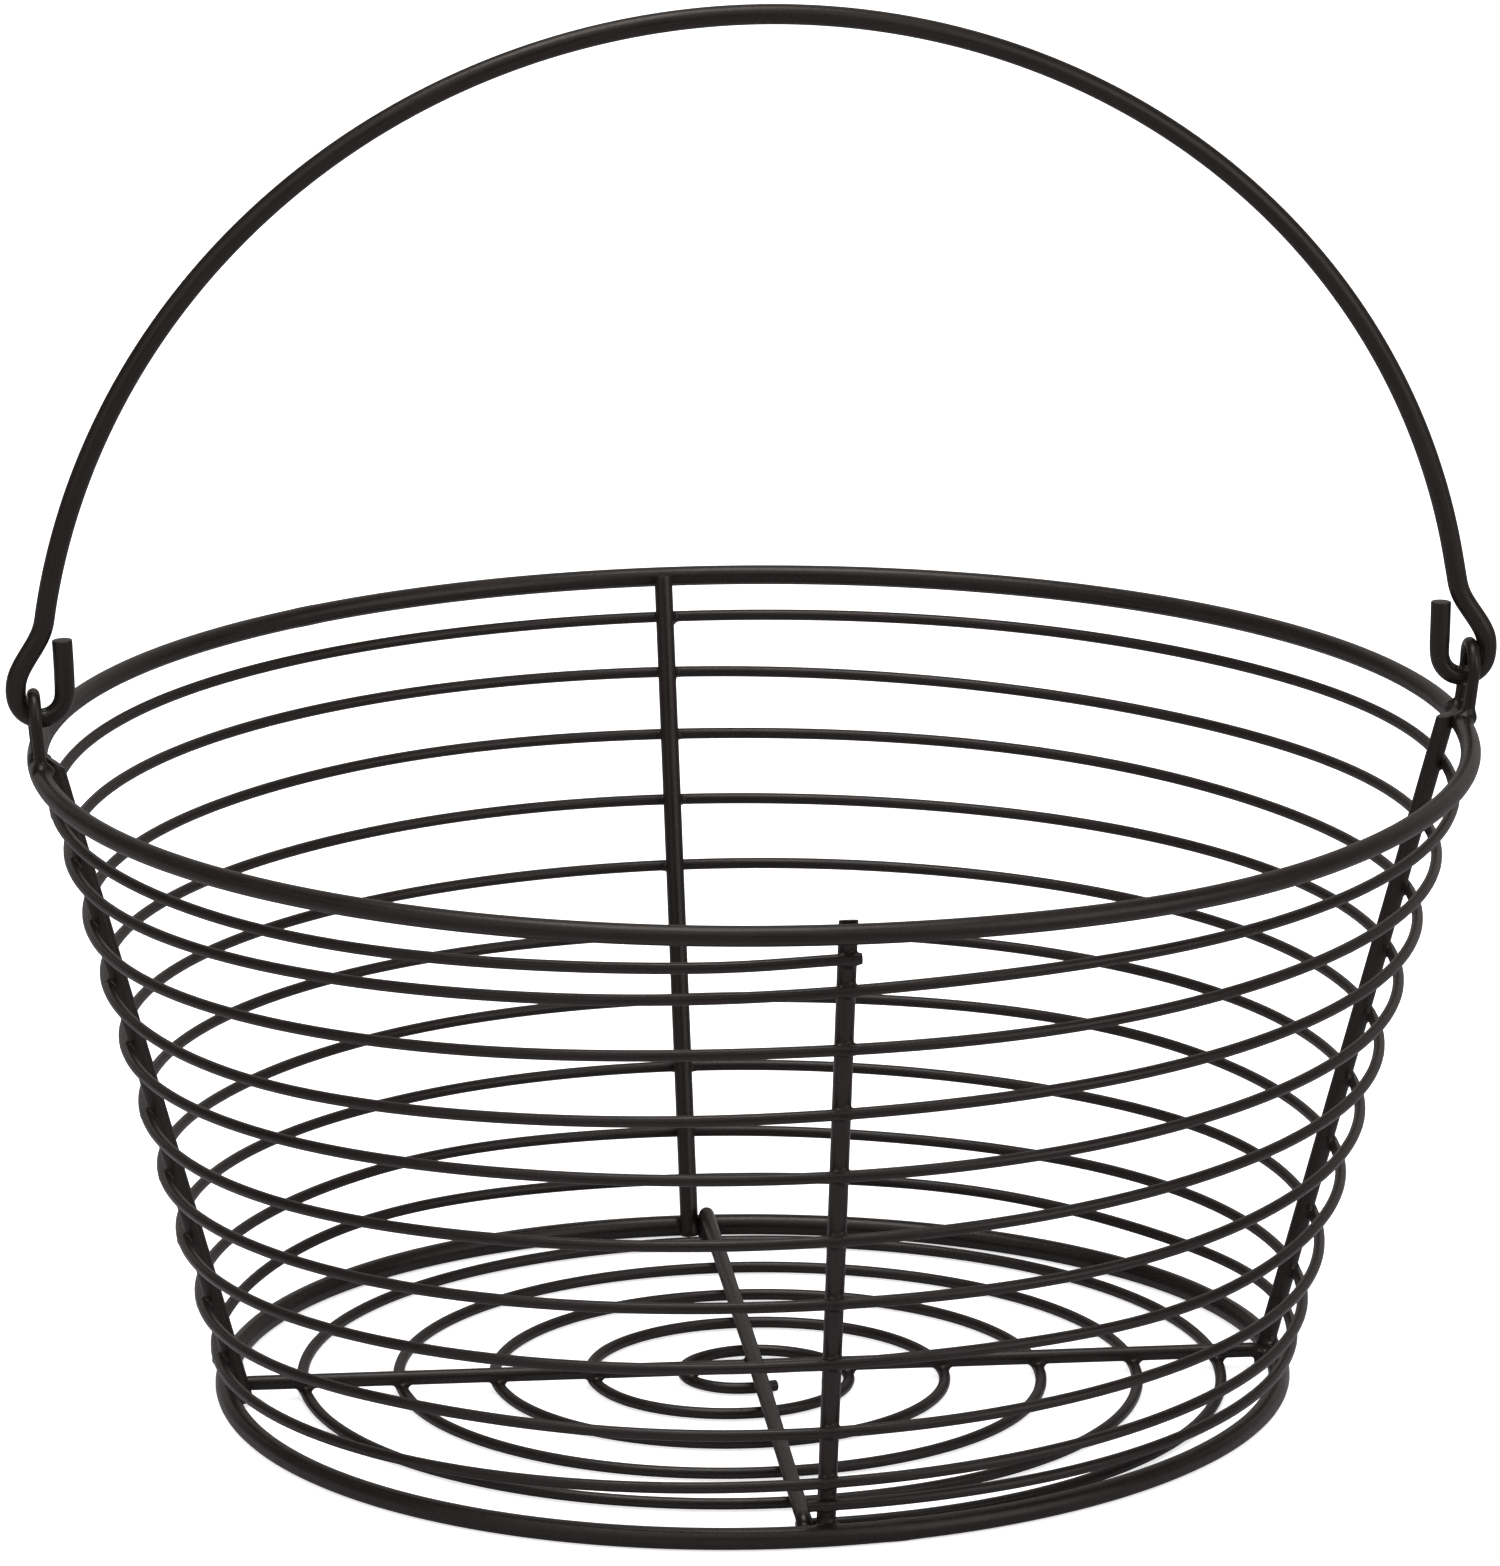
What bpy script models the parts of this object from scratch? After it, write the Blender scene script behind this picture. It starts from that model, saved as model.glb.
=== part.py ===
"""Round welded wire basket with a swinging bail handle.

Metres, +Z up.  The origin is the centre of the base ring on the resting plane.
X runs along the handle's hinge axis, -Y is the front.  Every wire is its own
closed solid; wires that are welded on the real basket stop a hair short of
each other here.  Sizes named *_WIRE are wire radii; ring radii and heights
are those of the wire's centreline.
"""
import math

import bmesh
import bpy
from mathutils import Matrix, Vector

# ------------------------------------------------------------ shared settings
WELD_GAP = 0.00025          # room left between two wires that are welded
FRAME_SIDES = 8             # flats around rings, uprights, bars, eyelets, handle
FILL_SIDES = 6              # flats around the two spiral wires
END_BEVEL = 0.0004          # bevel on a cut end
SHARP_ANGLE = math.radians(55)

QUARTER_TURN = math.pi / 2
FULL_TURN = 2 * math.pi

# Azimuths, counter-clockwise from +X seen from above
RIGHT = 0.0
BACK = QUARTER_TURN
LEFT = math.pi
FRONT = -QUARTER_TURN

# ---------------------------------------------------------------------- rings
RIM_RADIUS = 0.1700
RIM_HEIGHT = 0.1580
RIM_WIRE = 0.00225

BASE_RADIUS = 0.1268
BASE_WIRE = 0.0024
BASE_HEIGHT = BASE_WIRE * math.cos(math.pi / FRAME_SIDES)   # lower flats lie on z = 0

RING_STEPS = 72

# ------------------------------------------------------------------- uprights
UPRIGHT_WIRE = 0.00205
UPRIGHT_FOOT_Z = 0.0010     # end of the upright beside the base ring
UPRIGHT_TOP_Z = 0.1598      # cut end stands about level with the top of the rim
WALL_FIT_PASSES = 8

# ---------------------------------------------------------------- side spiral
SIDE_WIRE = 0.00118
SIDE_TURNS = 10
SIDE_STEPS_PER_TURN = 40
SIDE_START_Z = 0.1505       # the coil starts just below the rim
SIDE_PITCH = 0.01592        # even drop of each turn down the wall
SIDE_HUG_TURNS = 0.52       # the first half turn hugs the rim
SIDE_HUG_EASE = 0.30        # turns over which the drop sets in
SIDE_ASKEW = 0.0022         # the coil hangs this much lower on the left
SIDE_NOD = 0.0005           # and this much lower at the front
SIDE_SLACK = 0.0028         # one slack stretch dips before the front upright
SIDE_SLACK_TURN = 7.87
SIDE_SLACK_SPREAD = 0.17    # turns
SIDE_CLOSE_TURN = 9.3       # the last turns close up on the base ring
SIDE_CLOSE_RATE = 0.0150    # taken off the pitch there
SIDE_CLOSE_EASE = 0.19      # turns
SIDE_START_STUB = 0.0030    # cut ends run past the front upright
SIDE_END_STUB = 0.0046

# --------------------------------------------------------------- floor spiral
FLOOR_WIRE = 0.0012
FLOOR_STEPS_PER_TURN = 36
FLOOR_HEIGHT = 0.0016       # the floor coil hangs just clear of the table
FLOOR_CENTRE_X = -0.0020
FLOOR_CENTRE_Y = 0.0019
FLOOR_START_TURN = -0.052   # turns past the front line
FLOOR_END_TURN = 4.998
FLOOR_INNER = 0.0072        # radius the even coil would have at turn zero
FLOOR_PITCH = 0.0231        # growth in radius per turn
FLOOR_START_EXTRA = 0.0065  # the first bend is opened out
FLOOR_START_DECAY = 0.17    # turns
FLOOR_CLOSE_TURN = 4.25     # from here the coil closes on the base ring
FLOOR_CLOSE_RATE = 0.0108   # taken off the radius per turn squared

# ----------------------------------------------------------------- floor bars
BAR_LR_WIRE = 0.0016
BAR_FB_WIRE = 0.0017
BAR_TWIST = math.radians(-2.0)   # the cross of bars sits beside the uprights
BAR_FOOT_Z = 0.0005
BAR_BEND_RATIO = 1.6        # bend radius over wire radius
BAR_BEND_STEPS = 4
# The left-right bar lies on the floor coil, the front-back bar on top of it
BAR_LR_HEIGHT = FLOOR_HEIGHT + FLOOR_WIRE + BAR_LR_WIRE + WELD_GAP
BAR_FB_HEIGHT = BAR_LR_HEIGHT + BAR_LR_WIRE + BAR_FB_WIRE + WELD_GAP

# ------------------------------------------------------------ eyelets, handle
HANDLE_CENTRE_X = 0.0014    # eyelets and handle sit this far to +X, as welded

EYELET_WIRE = 0.00125
EYELET_WIDTH = 0.0110       # leg to leg, centrelines
EYELET_TOP_Z = 0.1766
EYELET_HALF_SPAN = 0.1713
EYELET_ARC_STEPS = 10

HANDLE_WIRE = 0.00225
HANDLE_END_BEVEL = 0.0006
HINGE_Z = 0.1703            # bottom of the hooks' centreline
ARCH_HALF_WIDTH = 0.16975
ARCH_RISE = 0.1627
ARCH_BASE_Z = 0.1712
ARCH_LOW_Z = 0.1935         # the arch ends here and kicks outwards
ARCH_STEPS = 22             # from there to the top
KICK_LOW_Z = 0.1780
KICK_STEPS = 6
HOOK_HALF_SPAN = 0.1694     # centre of each hook's bend
HOOK_RADIUS = 0.0058
HOOK_BEND_STEPS = 10
HOOK_TIP_Z = 0.1886
HOOK_TIP_LEAN = 0.0005      # outwards at the tip
HOOK_MIDWAY_LEAN = 0.4      # share of that lean halfway up to the tip


# --------------------------------------------------------------- scene, coats
def clear_scene():
    for obj in list(bpy.data.objects):
        bpy.data.objects.remove(obj, do_unlink=True)


def coating(name, colour, roughness):
    """A non-metallic coating over the steel wire."""
    material = bpy.data.materials.new(name)
    material.use_nodes = True
    inputs = material.node_tree.nodes["Principled BSDF"].inputs
    inputs["Base Color"].default_value = (*colour, 1.0)
    inputs["Roughness"].default_value = roughness
    inputs["Metallic"].default_value = 0.0
    return material


def frame_coating():
    return coating("frame_wire_coating", colour=(0.018, 0.017, 0.016), roughness=0.42)


def fill_coating():
    return coating("fill_wire_coating", colour=(0.020, 0.019, 0.018), roughness=0.45)


def handle_coating():
    return coating("handle_coating", colour=(0.017, 0.016, 0.016), roughness=0.40)


# --------------------------------------------------------------- path helpers
def polar(radius, azimuth, z):
    return (radius * math.cos(azimuth), radius * math.sin(azimuth), z)


def arc(centre, half_width, rise, start, end, steps):
    """Points on an upright ellipse as (distance across, z), ends included."""
    across, z = centre
    angles = [start + (end - start) * i / steps for i in range(steps + 1)]
    return [(across + half_width * math.cos(angle), z + rise * math.sin(angle))
            for angle in angles]


# ---------------------------------------------------------------- wire sweep
def add_ring(bm, centre, tangent, radius, sides, flat_axis):
    """One polygon of vertices across the wire."""
    up = flat_axis - tangent * tangent.dot(flat_axis)
    up.normalize()
    across = tangent.cross(up)
    verts = []
    for k in range(sides):
        angle = FULL_TURN * (k + 0.5) / sides
        offset = up * math.cos(angle) + across * math.sin(angle)
        verts.append(bm.verts.new(centre + offset * radius))
    return verts


def add_wire_rings(bm, points, radius, sides, flat_axis, closed, end_bevel):
    """A ring at every point, and a second one at each cut end for its bevel."""
    last = len(points) - 1
    rings = []
    for i, point in enumerate(points):
        if closed:
            tangent = points[(i + 1) % len(points)] - points[i - 1]
        else:
            tangent = points[min(i + 1, last)] - points[max(i - 1, 0)]
        tangent.normalize()
        if closed or 0 < i < last:
            rings.append(add_ring(bm, point, tangent, radius, sides, flat_axis))
            continue
        inward = tangent if i == 0 else -tangent
        tip = add_ring(bm, point, tangent, radius - end_bevel, sides, flat_axis)
        body = add_ring(bm, point + inward * end_bevel, tangent, radius, sides, flat_axis)
        rings.extend([tip, body] if i == 0 else [body, tip])
    return rings


def wire(name, points, radius, sides, flat_axis, material, closed=False,
         end_bevel=END_BEVEL):
    """Sweep a regular polygon along points.  flat_axis is a direction that is
    never parallel to the wire; one pair of the polygon's flats faces it."""
    points = [Vector(point) for point in points]
    bm = bmesh.new()
    rings = add_wire_rings(bm, points, radius, sides, Vector(flat_axis), closed, end_bevel)
    following = rings[1:] + rings[:1] if closed else rings[1:]
    for ring, next_ring in zip(rings, following):
        for k in range(sides):
            j = (k + 1) % sides
            bm.faces.new((ring[k], ring[j], next_ring[j], next_ring[k]))
    if not closed:
        bm.faces.new(list(reversed(rings[0])))
        bm.faces.new(rings[-1])
    bmesh.ops.recalc_face_normals(bm, faces=bm.faces)

    mesh = bpy.data.meshes.new(name)
    bm.to_mesh(mesh)
    bm.free()
    mesh.materials.append(material)
    mesh.shade_smooth()
    mesh.set_sharp_from_angle(angle=SHARP_ANGLE)
    obj = bpy.data.objects.new(name, mesh)
    bpy.context.scene.collection.objects.link(obj)
    return obj


def put_origin(obj, origin):
    """Move an object's origin without moving its shape."""
    obj.data.transform(Matrix.Translation(-Vector(origin)))
    obj.location = origin


# ---------------------------------------------------------------- basket wall
def level_ring(name, radius, height, wire_radius, material):
    points = [polar(radius, FULL_TURN * i / RING_STEPS, height) for i in range(RING_STEPS)]
    wire(name, points, wire_radius, FRAME_SIDES, (0, 0, 1), material, closed=True)


def wall_line():
    """Radius at base ring height and slope (radius per height) of the uprights,
    which touch both rings from inside.  The room a leaning wire takes depends
    on its slope, so the slope is refined in passes."""
    height = RIM_HEIGHT - BASE_HEIGHT
    slope = (RIM_RADIUS - BASE_RADIUS) / height
    for _ in range(WALL_FIT_PASSES):
        lean = math.cos(math.atan(slope))
        low = BASE_RADIUS - (BASE_WIRE + UPRIGHT_WIRE + WELD_GAP) / lean
        high = RIM_RADIUS - (RIM_WIRE + UPRIGHT_WIRE + WELD_GAP) / lean
        slope = (high - low) / height
    return low, slope


WALL_LOW, WALL_SLOPE = wall_line()
WALL_LEAN = math.cos(math.atan(WALL_SLOPE))


def upright_radius(z):
    return WALL_LOW + WALL_SLOPE * (z - BASE_HEIGHT)


def upright(name, azimuth, material):
    ends = [polar(upright_radius(z), azimuth, z) for z in (UPRIGHT_FOOT_Z, UPRIGHT_TOP_Z)]
    tangential = polar(1, azimuth + QUARTER_TURN, 0)
    wire(name, ends, UPRIGHT_WIRE, FRAME_SIDES, tangential, material)


# ---------------------------------------------------------------- side spiral
def side_radius(z):
    """The side wire lies on the outside of the uprights."""
    return upright_radius(z) + (UPRIGHT_WIRE + SIDE_WIRE + WELD_GAP) / WALL_LEAN


def ease_in(turn, start, ease):
    """Near zero before start, then rising one for one, rounded over ease turns."""
    return ease * math.log1p(math.exp((turn - start) / ease))


def side_height(turn):
    """Height of the side wire after a number of turns from the front."""
    drop = SIDE_PITCH * (ease_in(turn, SIDE_HUG_TURNS, SIDE_HUG_EASE)
                         - ease_in(0, SIDE_HUG_TURNS, SIDE_HUG_EASE))
    close = SIDE_CLOSE_RATE * ease_in(turn, SIDE_CLOSE_TURN, SIDE_CLOSE_EASE)
    slack = SIDE_SLACK * math.exp(
        -0.5 * ((turn - SIDE_SLACK_TURN) / SIDE_SLACK_SPREAD) ** 2)
    angle = FULL_TURN * turn
    tilt = SIDE_ASKEW * math.sin(angle) + SIDE_NOD * math.cos(angle)
    return SIDE_START_Z - drop + close - slack - tilt


def side_spiral(material):
    """Down the wall, turning front, left, back, right."""
    start_round = FULL_TURN * side_radius(SIDE_START_Z)
    end_round = FULL_TURN * side_radius(side_height(SIDE_TURNS))
    steps = SIDE_TURNS * SIDE_STEPS_PER_TURN
    turns = [-SIDE_START_STUB / start_round]
    turns += [i / SIDE_STEPS_PER_TURN for i in range(steps + 1)]
    turns.append(SIDE_TURNS + SIDE_END_STUB / end_round)
    points = []
    for turn in turns:
        z = side_height(turn)
        points.append(polar(side_radius(z), FRONT - FULL_TURN * turn, z))
    wire("side_spiral_wire", points, SIDE_WIRE, FILL_SIDES, (0, 0, 1), material)


# --------------------------------------------------------------- basket floor
def floor_radius(turn):
    opening = FLOOR_START_EXTRA * math.exp(-(turn - FLOOR_START_TURN) / FLOOR_START_DECAY)
    closing = FLOOR_CLOSE_RATE * max(turn - FLOOR_CLOSE_TURN, 0) ** 2
    return FLOOR_INNER + FLOOR_PITCH * turn + opening - closing


def floor_spiral(material):
    """Outwards from the middle, turning front, left, back, right."""
    span = FLOOR_END_TURN - FLOOR_START_TURN
    steps = math.ceil(span * FLOOR_STEPS_PER_TURN)
    points = []
    for i in range(steps + 1):
        turn = FLOOR_START_TURN + span * i / steps
        x, y, z = polar(floor_radius(turn), FRONT - FULL_TURN * turn, FLOOR_HEIGHT)
        points.append((FLOOR_CENTRE_X + x, FLOOR_CENTRE_Y + y, z))
    wire("base_spiral_wire", points, FLOOR_WIRE, FILL_SIDES, (0, 0, 1), material)


def floor_bar(name, azimuth, height, radius, material):
    """Straight across the floor, with each end bent down inside the base ring."""
    reach = BASE_RADIUS - BASE_WIRE - radius - WELD_GAP
    bend = BAR_BEND_RATIO * radius
    half = [(reach, BAR_FOOT_Z)]
    half += arc((reach - bend, height - bend), bend, bend,
                0, QUARTER_TURN, BAR_BEND_STEPS)
    path = half + [(-along, z) for along, z in reversed(half)]
    points = [polar(along, azimuth, z) for along, z in path]
    sideways = polar(1, azimuth + QUARTER_TURN, 0)
    wire(name, points, radius, FRAME_SIDES, sideways, material)


# ------------------------------------------------------------ eyelets, handle
def eyelet(name, side, material):
    """A staple-shaped loop standing on the rim, in a plane across the hinge."""
    x = HANDLE_CENTRE_X + side * EYELET_HALF_SPAN
    half = EYELET_WIDTH / 2
    foot_z = RIM_HEIGHT + RIM_WIRE + WELD_GAP
    path = [(-half, foot_z)]
    path += arc((0, EYELET_TOP_Z - half), half, half, math.pi, 0, EYELET_ARC_STEPS)
    path.append((half, foot_z))
    points = [(x, y, z) for y, z in path]
    wire(name, points, EYELET_WIRE, FRAME_SIDES, (1, 0, 0), material)


def hook_path():
    """Right hook, from its inner tip down and round the bend, as (x, z)."""
    inner = HOOK_HALF_SPAN - HOOK_RADIUS
    bend_z = HINGE_Z + HOOK_RADIUS
    tip = (inner + HOOK_TIP_LEAN, HOOK_TIP_Z)
    midway = (inner + HOOK_TIP_LEAN * HOOK_MIDWAY_LEAN, (HOOK_TIP_Z + bend_z) / 2)
    return [tip, midway] + arc((HOOK_HALF_SPAN, bend_z), HOOK_RADIUS, HOOK_RADIUS,
                               math.pi, FULL_TURN, HOOK_BEND_STEPS)


def kick_path(outer, join):
    """S-curve from the hook's outer side up to the foot of the arch."""
    path = []
    for i in range(KICK_STEPS + 1):
        share = i / KICK_STEPS
        ease = share * share * (3 - 2 * share)
        path.append((outer + (join - outer) * ease,
                     KICK_LOW_Z + (ARCH_LOW_Z - KICK_LOW_Z) * share))
    return path


def bail_handle(material):
    """Two hooks joined by a half-elliptical arch; its origin is on the hinge."""
    low = math.asin((ARCH_LOW_Z - ARCH_BASE_Z) / ARCH_RISE)
    arch = arc((0, ARCH_BASE_Z), ARCH_HALF_WIDTH, ARCH_RISE, low, QUARTER_TURN, ARCH_STEPS)
    kick = kick_path(outer=HOOK_HALF_SPAN + HOOK_RADIUS, join=arch[0][0])
    # the kick already ends on the arch's first point
    right = hook_path() + kick + arch[1:]
    # the top point is not mirrored
    left = [(-x, z) for x, z in reversed(right[:-1])]
    points = [(HANDLE_CENTRE_X + x, 0, z) for x, z in right + left]
    handle = wire("bail_handle", points, HANDLE_WIRE, FRAME_SIDES, (0, 1, 0), material,
                  end_bevel=HANDLE_END_BEVEL)
    put_origin(handle, (HANDLE_CENTRE_X, 0, HINGE_Z))


# ---------------------------------------------------------------------- build
def build():
    clear_scene()
    frame_coat = frame_coating()
    fill_coat = fill_coating()

    level_ring("rim_ring", RIM_RADIUS, RIM_HEIGHT, RIM_WIRE, frame_coat)
    level_ring("base_ring", BASE_RADIUS, BASE_HEIGHT, BASE_WIRE, frame_coat)
    for place, azimuth in (("front", FRONT), ("left", LEFT), ("back", BACK), ("right", RIGHT)):
        upright(f"upright_{place}", azimuth, frame_coat)
    side_spiral(fill_coat)
    floor_spiral(fill_coat)
    floor_bar("floor_bar_left_right", RIGHT + BAR_TWIST, BAR_LR_HEIGHT, BAR_LR_WIRE,
              frame_coat)
    floor_bar("floor_bar_front_back", BACK + BAR_TWIST, BAR_FB_HEIGHT, BAR_FB_WIRE,
              frame_coat)
    eyelet("eyelet_left", -1, frame_coat)
    eyelet("eyelet_right", 1, frame_coat)
    bail_handle(handle_coating())


build()
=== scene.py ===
"""Looks for a round welded wire basket with a bail handle: every wire drawn out
smooth, with its cut ends, its bends, its weld beads and a satin black coating.

Metres, +Z up, the same frame as the CAD.  The basket stands on z = 0 about the
Z axis; -Y is the front, +X the right.  The bail arches over it from left to right.
"""
import itertools
import math

import bpy
import numpy as np
from mathutils import Matrix, Vector


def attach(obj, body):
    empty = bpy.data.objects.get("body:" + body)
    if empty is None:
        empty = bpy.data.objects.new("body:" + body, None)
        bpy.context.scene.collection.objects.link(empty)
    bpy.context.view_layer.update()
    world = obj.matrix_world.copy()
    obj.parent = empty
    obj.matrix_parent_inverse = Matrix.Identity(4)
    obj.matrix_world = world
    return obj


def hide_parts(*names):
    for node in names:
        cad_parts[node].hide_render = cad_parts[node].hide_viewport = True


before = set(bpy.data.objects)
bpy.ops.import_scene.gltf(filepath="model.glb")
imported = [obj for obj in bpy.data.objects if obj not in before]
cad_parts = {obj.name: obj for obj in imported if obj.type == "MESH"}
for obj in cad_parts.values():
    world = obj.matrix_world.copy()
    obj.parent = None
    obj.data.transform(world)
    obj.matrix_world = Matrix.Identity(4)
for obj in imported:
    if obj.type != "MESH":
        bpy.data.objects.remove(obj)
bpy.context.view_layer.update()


TAU = math.tau
UP = np.array([0.0, 0.0, 1.0])
FRONT = -math.pi / 2

# ------------------------------------------------------------------ dimensions
# The same driving sizes as the CAD part.  Each _WIRE is a wire's radius, each
# _TURN, _EASE or _SPREAD of a coil is in turns.
WELD_GAP = 0.00025
COAT = 0.00018              # the coating's build on every wire

RIM_RADIUS = 0.1700
RIM_HEIGHT = 0.1580
RIM_WIRE = 0.00225
RIM_CENTRE_X = 0.00097
RIM_OVAL = 0.00057
RIM_DIP = 0.0008
RIM_DIP_AT = math.radians(-57)
RIM_DIP_SPREAD = math.radians(20)

BASE_RADIUS = 0.1268
BASE_WIRE = 0.0024
BASE_HEIGHT = BASE_WIRE * math.cos(math.pi / 8)
BACK_FOOT_IN = 0.0025       # the ring's back is pulled in, its upright and bar with it
# harmonics of the foot ring's radius: order, cosine, sine
FOOT_OUT_OF_ROUND = ((0, -0.0009, 0.0), (1, -0.0012, -0.0011), (2, 0.00045, 0.00045),
                     (3, 0.0012, 0.0002))

UPRIGHT_WIRE = 0.00205
UPRIGHT_FOOT_Z = 0.0010
UPRIGHT_TOP_Z = 0.1598
UPRIGHT_SHORT = 0.0006      # how far the cut tops stop below that
# how far the welds let each upright sink outward, at the foot and at the rim
UPRIGHT_SINK_LOW = 0.00105
UPRIGHT_SINK_TOP = 0.00075
# name, azimuth, where the side coil first passes it in turns
UPRIGHTS = (("front", FRONT, 0.0), ("left", -math.pi, 0.25),
            ("back", math.pi / 2, 0.5), ("right", 0.0, 0.75))
# how far each is off: sideways at its foot and top (towards +X for the front and
# back ones, +Y for the left and right ones), then outward at its foot and top
UPRIGHT_SET = {
    "front": (0.00062, 0.00022, 0.0, 0.0),
    "back": (0.00010, 0.00022, -BACK_FOOT_IN, 0.0),
    "left": (0.0, 0.0, -0.0003, -0.0016),
    "right": (0.0, -0.0030, 0.0012, 0.0004),
}
# tops cut on a slant: degrees the face leans in over the basket, and how far
# the wire runs on above the square-cut length
UPRIGHT_CUT = {"front": (13, 0.0011), "left": (35, 0.0016), "right": (12, 0.0008)}
CUT_FADE = 0.003            # length of wire over which a slanted cut fades out

SIDE_WIRE = 0.00118
SIDE_TURNS = 10
SIDE_START_Z = 0.1505
SIDE_PITCH = 0.01592
SIDE_HUG_TURNS = 0.52       # the coil runs level below the rim before it drops
SIDE_HUG_EASE = 0.30
SIDE_ASKEW = 0.0022         # tilt from side to side
SIDE_NOD = 0.0005           # tilt from front to back
SIDE_SLACK = 0.0028         # one stretch hangs low
SIDE_SLACK_TURN = 7.87
SIDE_SLACK_SPREAD = 0.17
SIDE_CLOSE_TURN = 9.3       # the last turn closes up
SIDE_CLOSE_RATE = 0.0150
SIDE_CLOSE_EASE = 0.19
SIDE_START_STUB = 0.0022
SIDE_END_STUB = 0.0046
SIDE_FULL = 0.0005          # turns run full low down ...
SIDE_TAPER = 0.0008         # ... and slightly small at the top
SIDE_STEPS = 200            # points per turn
# welded by hand, the coil is uneven: turn, sag (negative: rides high), spread in turns
SIDE_UNEVEN = (
    (0.00, -0.0012, 0.020),
    (0.13, 0.0016, 0.07), (0.36, -0.0012, 0.10), (0.65, 0.0008, 0.07), (0.97, -0.0013, 0.06),
    (1.19, 0.0022, 0.12), (1.64, 0.0027, 0.11), (2.02, -0.0012, 0.06), (2.22, 0.0018, 0.09),
    (2.44, -0.0007, 0.06), (2.68, 0.0017, 0.08), (2.97, -0.0007, 0.07), (3.16, 0.0018, 0.07),
    (3.45, -0.0006, 0.08), (4.06, -0.0010, 0.08), (4.55, -0.0006, 0.12), (5.18, 0.0013, 0.08),
    (5.91, 0.0016, 0.08), (6.34, 0.0007, 0.06), (6.62, -0.0007, 0.07), (6.89, 0.0026, 0.06),
    (7.70, -0.0018, 0.07), (8.12, -0.0013, 0.06), (8.42, -0.0009, 0.05), (8.57, 0.0007, 0.06),
    (9.39, -0.0030, 0.08), (9.66, 0.0018, 0.06),
)
WALL_LEAN_X = 0.0011        # the coil leans to +X towards the rim

FLOOR_WIRE = 0.0012
FLOOR_HEIGHT = 0.0016
FLOOR_CENTRE = (-0.0020, 0.0019)
FLOOR_START_TURN = -0.095
FLOOR_END_TURN = 4.998
FLOOR_INNER = 0.0072
FLOOR_PITCH = 0.0231
FLOOR_START_EXTRA = 0.0065  # the inner end flares out, over a few tenths of a turn
FLOOR_START_DECAY = 0.17
FLOOR_CLOSE_TURN = 4.25
FLOOR_CLOSE_RATE = 0.0108
FLOOR_STEPS = 180           # points per turn

# floor bars: left to right (LR), and front to back (FB) lying over it
BAR_LR_WIRE = 0.0016
BAR_FB_WIRE = 0.0017
BAR_TWIST = math.radians(-2.0)
BAR_FOOT_Z = 0.0005
BAR_SINK = 0.00055          # how far the welds let the ends sink into the ring
BAR_LR_DROP = 0.00050       # how far each lies below where the CAD leaves its gap
BAR_FB_DROP = 0.00085
BAR_FB_FRONT_LOW = 0.0024   # its ends sink below its middle
BAR_FB_BACK_LOW = 0.0004
BAR_LR_GAP_Z = FLOOR_HEIGHT + FLOOR_WIRE + BAR_LR_WIRE + WELD_GAP
BAR_LR_Z = BAR_LR_GAP_Z - BAR_LR_DROP
BAR_FB_Z = BAR_LR_GAP_Z + BAR_LR_WIRE + BAR_FB_WIRE + WELD_GAP - BAR_FB_DROP

EYELET_WIRE = 0.00125
EYELET_WIDTH = 0.0110
EYELET_TOP_Z = 0.1766
EYELET_HALF_SPAN = 0.1713
EYELET_FOOT_RISE = RIM_WIRE * 0.45      # its feet end this far above the rim's centre
# side, arch shifted along X, arch raised, feet set in from the rim's oval
EYELET_SET = {"left": (-1, 0.00045, 0.00035, 0.0001), "right": (1, 0.00050, 0.0, -0.0013)}

HANDLE_WIRE = 0.00225
HANDLE_CENTRE_X = 0.0014
HINGE_Z = 0.1703
ARCH_HALF_WIDTH = 0.16975
ARCH_RISE = 0.1627
ARCH_BASE_Z = 0.1712
ARCH_LOW_Z = 0.1935         # the arch proper starts here, the kick out to the hook
KICK_LOW_Z = 0.1780         # at this height
HOOK_HALF_SPAN = 0.1694
HOOK_RADIUS = 0.0058
HOOK_TIP_Z = 0.1886
HOOK_TIP_LEAN = 0.0005
HANDLE_CROOKED = 0.0088     # radians
HANDLE_LIFT = 0.00005
# each hook is a little longer and to the right: length, shift along X
LEFT_HOOK_OFF = (0.0009, 0.00008)
RIGHT_HOOK_OFF = (0.0004, 0.0006)
HOOK_OFF_TOP_Z = 0.198      # that fades in downwards from here
HOOK_OFF_FADE = 0.020


# --------------------------------------------------------------- centre lines
def outward_at(azimuth):
    return np.array([math.cos(azimuth), math.sin(azimuth), 0.0])


def sideways_at(azimuth):
    return np.array([-math.sin(azimuth), math.cos(azimuth), 0.0])


def polar_points(radius, angle, z, centre=(0.0, 0.0)):
    x = centre[0] + radius * np.cos(angle)
    y = centre[1] + radius * np.sin(angle)
    return np.stack([x, y, np.broadcast_to(z, x.shape)], -1)


def ring_angles(steps):
    return TAU * np.arange(steps) / steps


def angle_gap(angle, other):
    """Difference of two angles, from -pi to pi."""
    return (angle - other + np.pi) % TAU - np.pi


def smoothstep(share):
    return share * share * (3 - 2 * share)


def smoothed(points, passes):
    for _ in range(passes):
        points[1:-1] = 0.25 * points[:-2] + 0.5 * points[1:-1] + 0.25 * points[2:]
    return points


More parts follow.
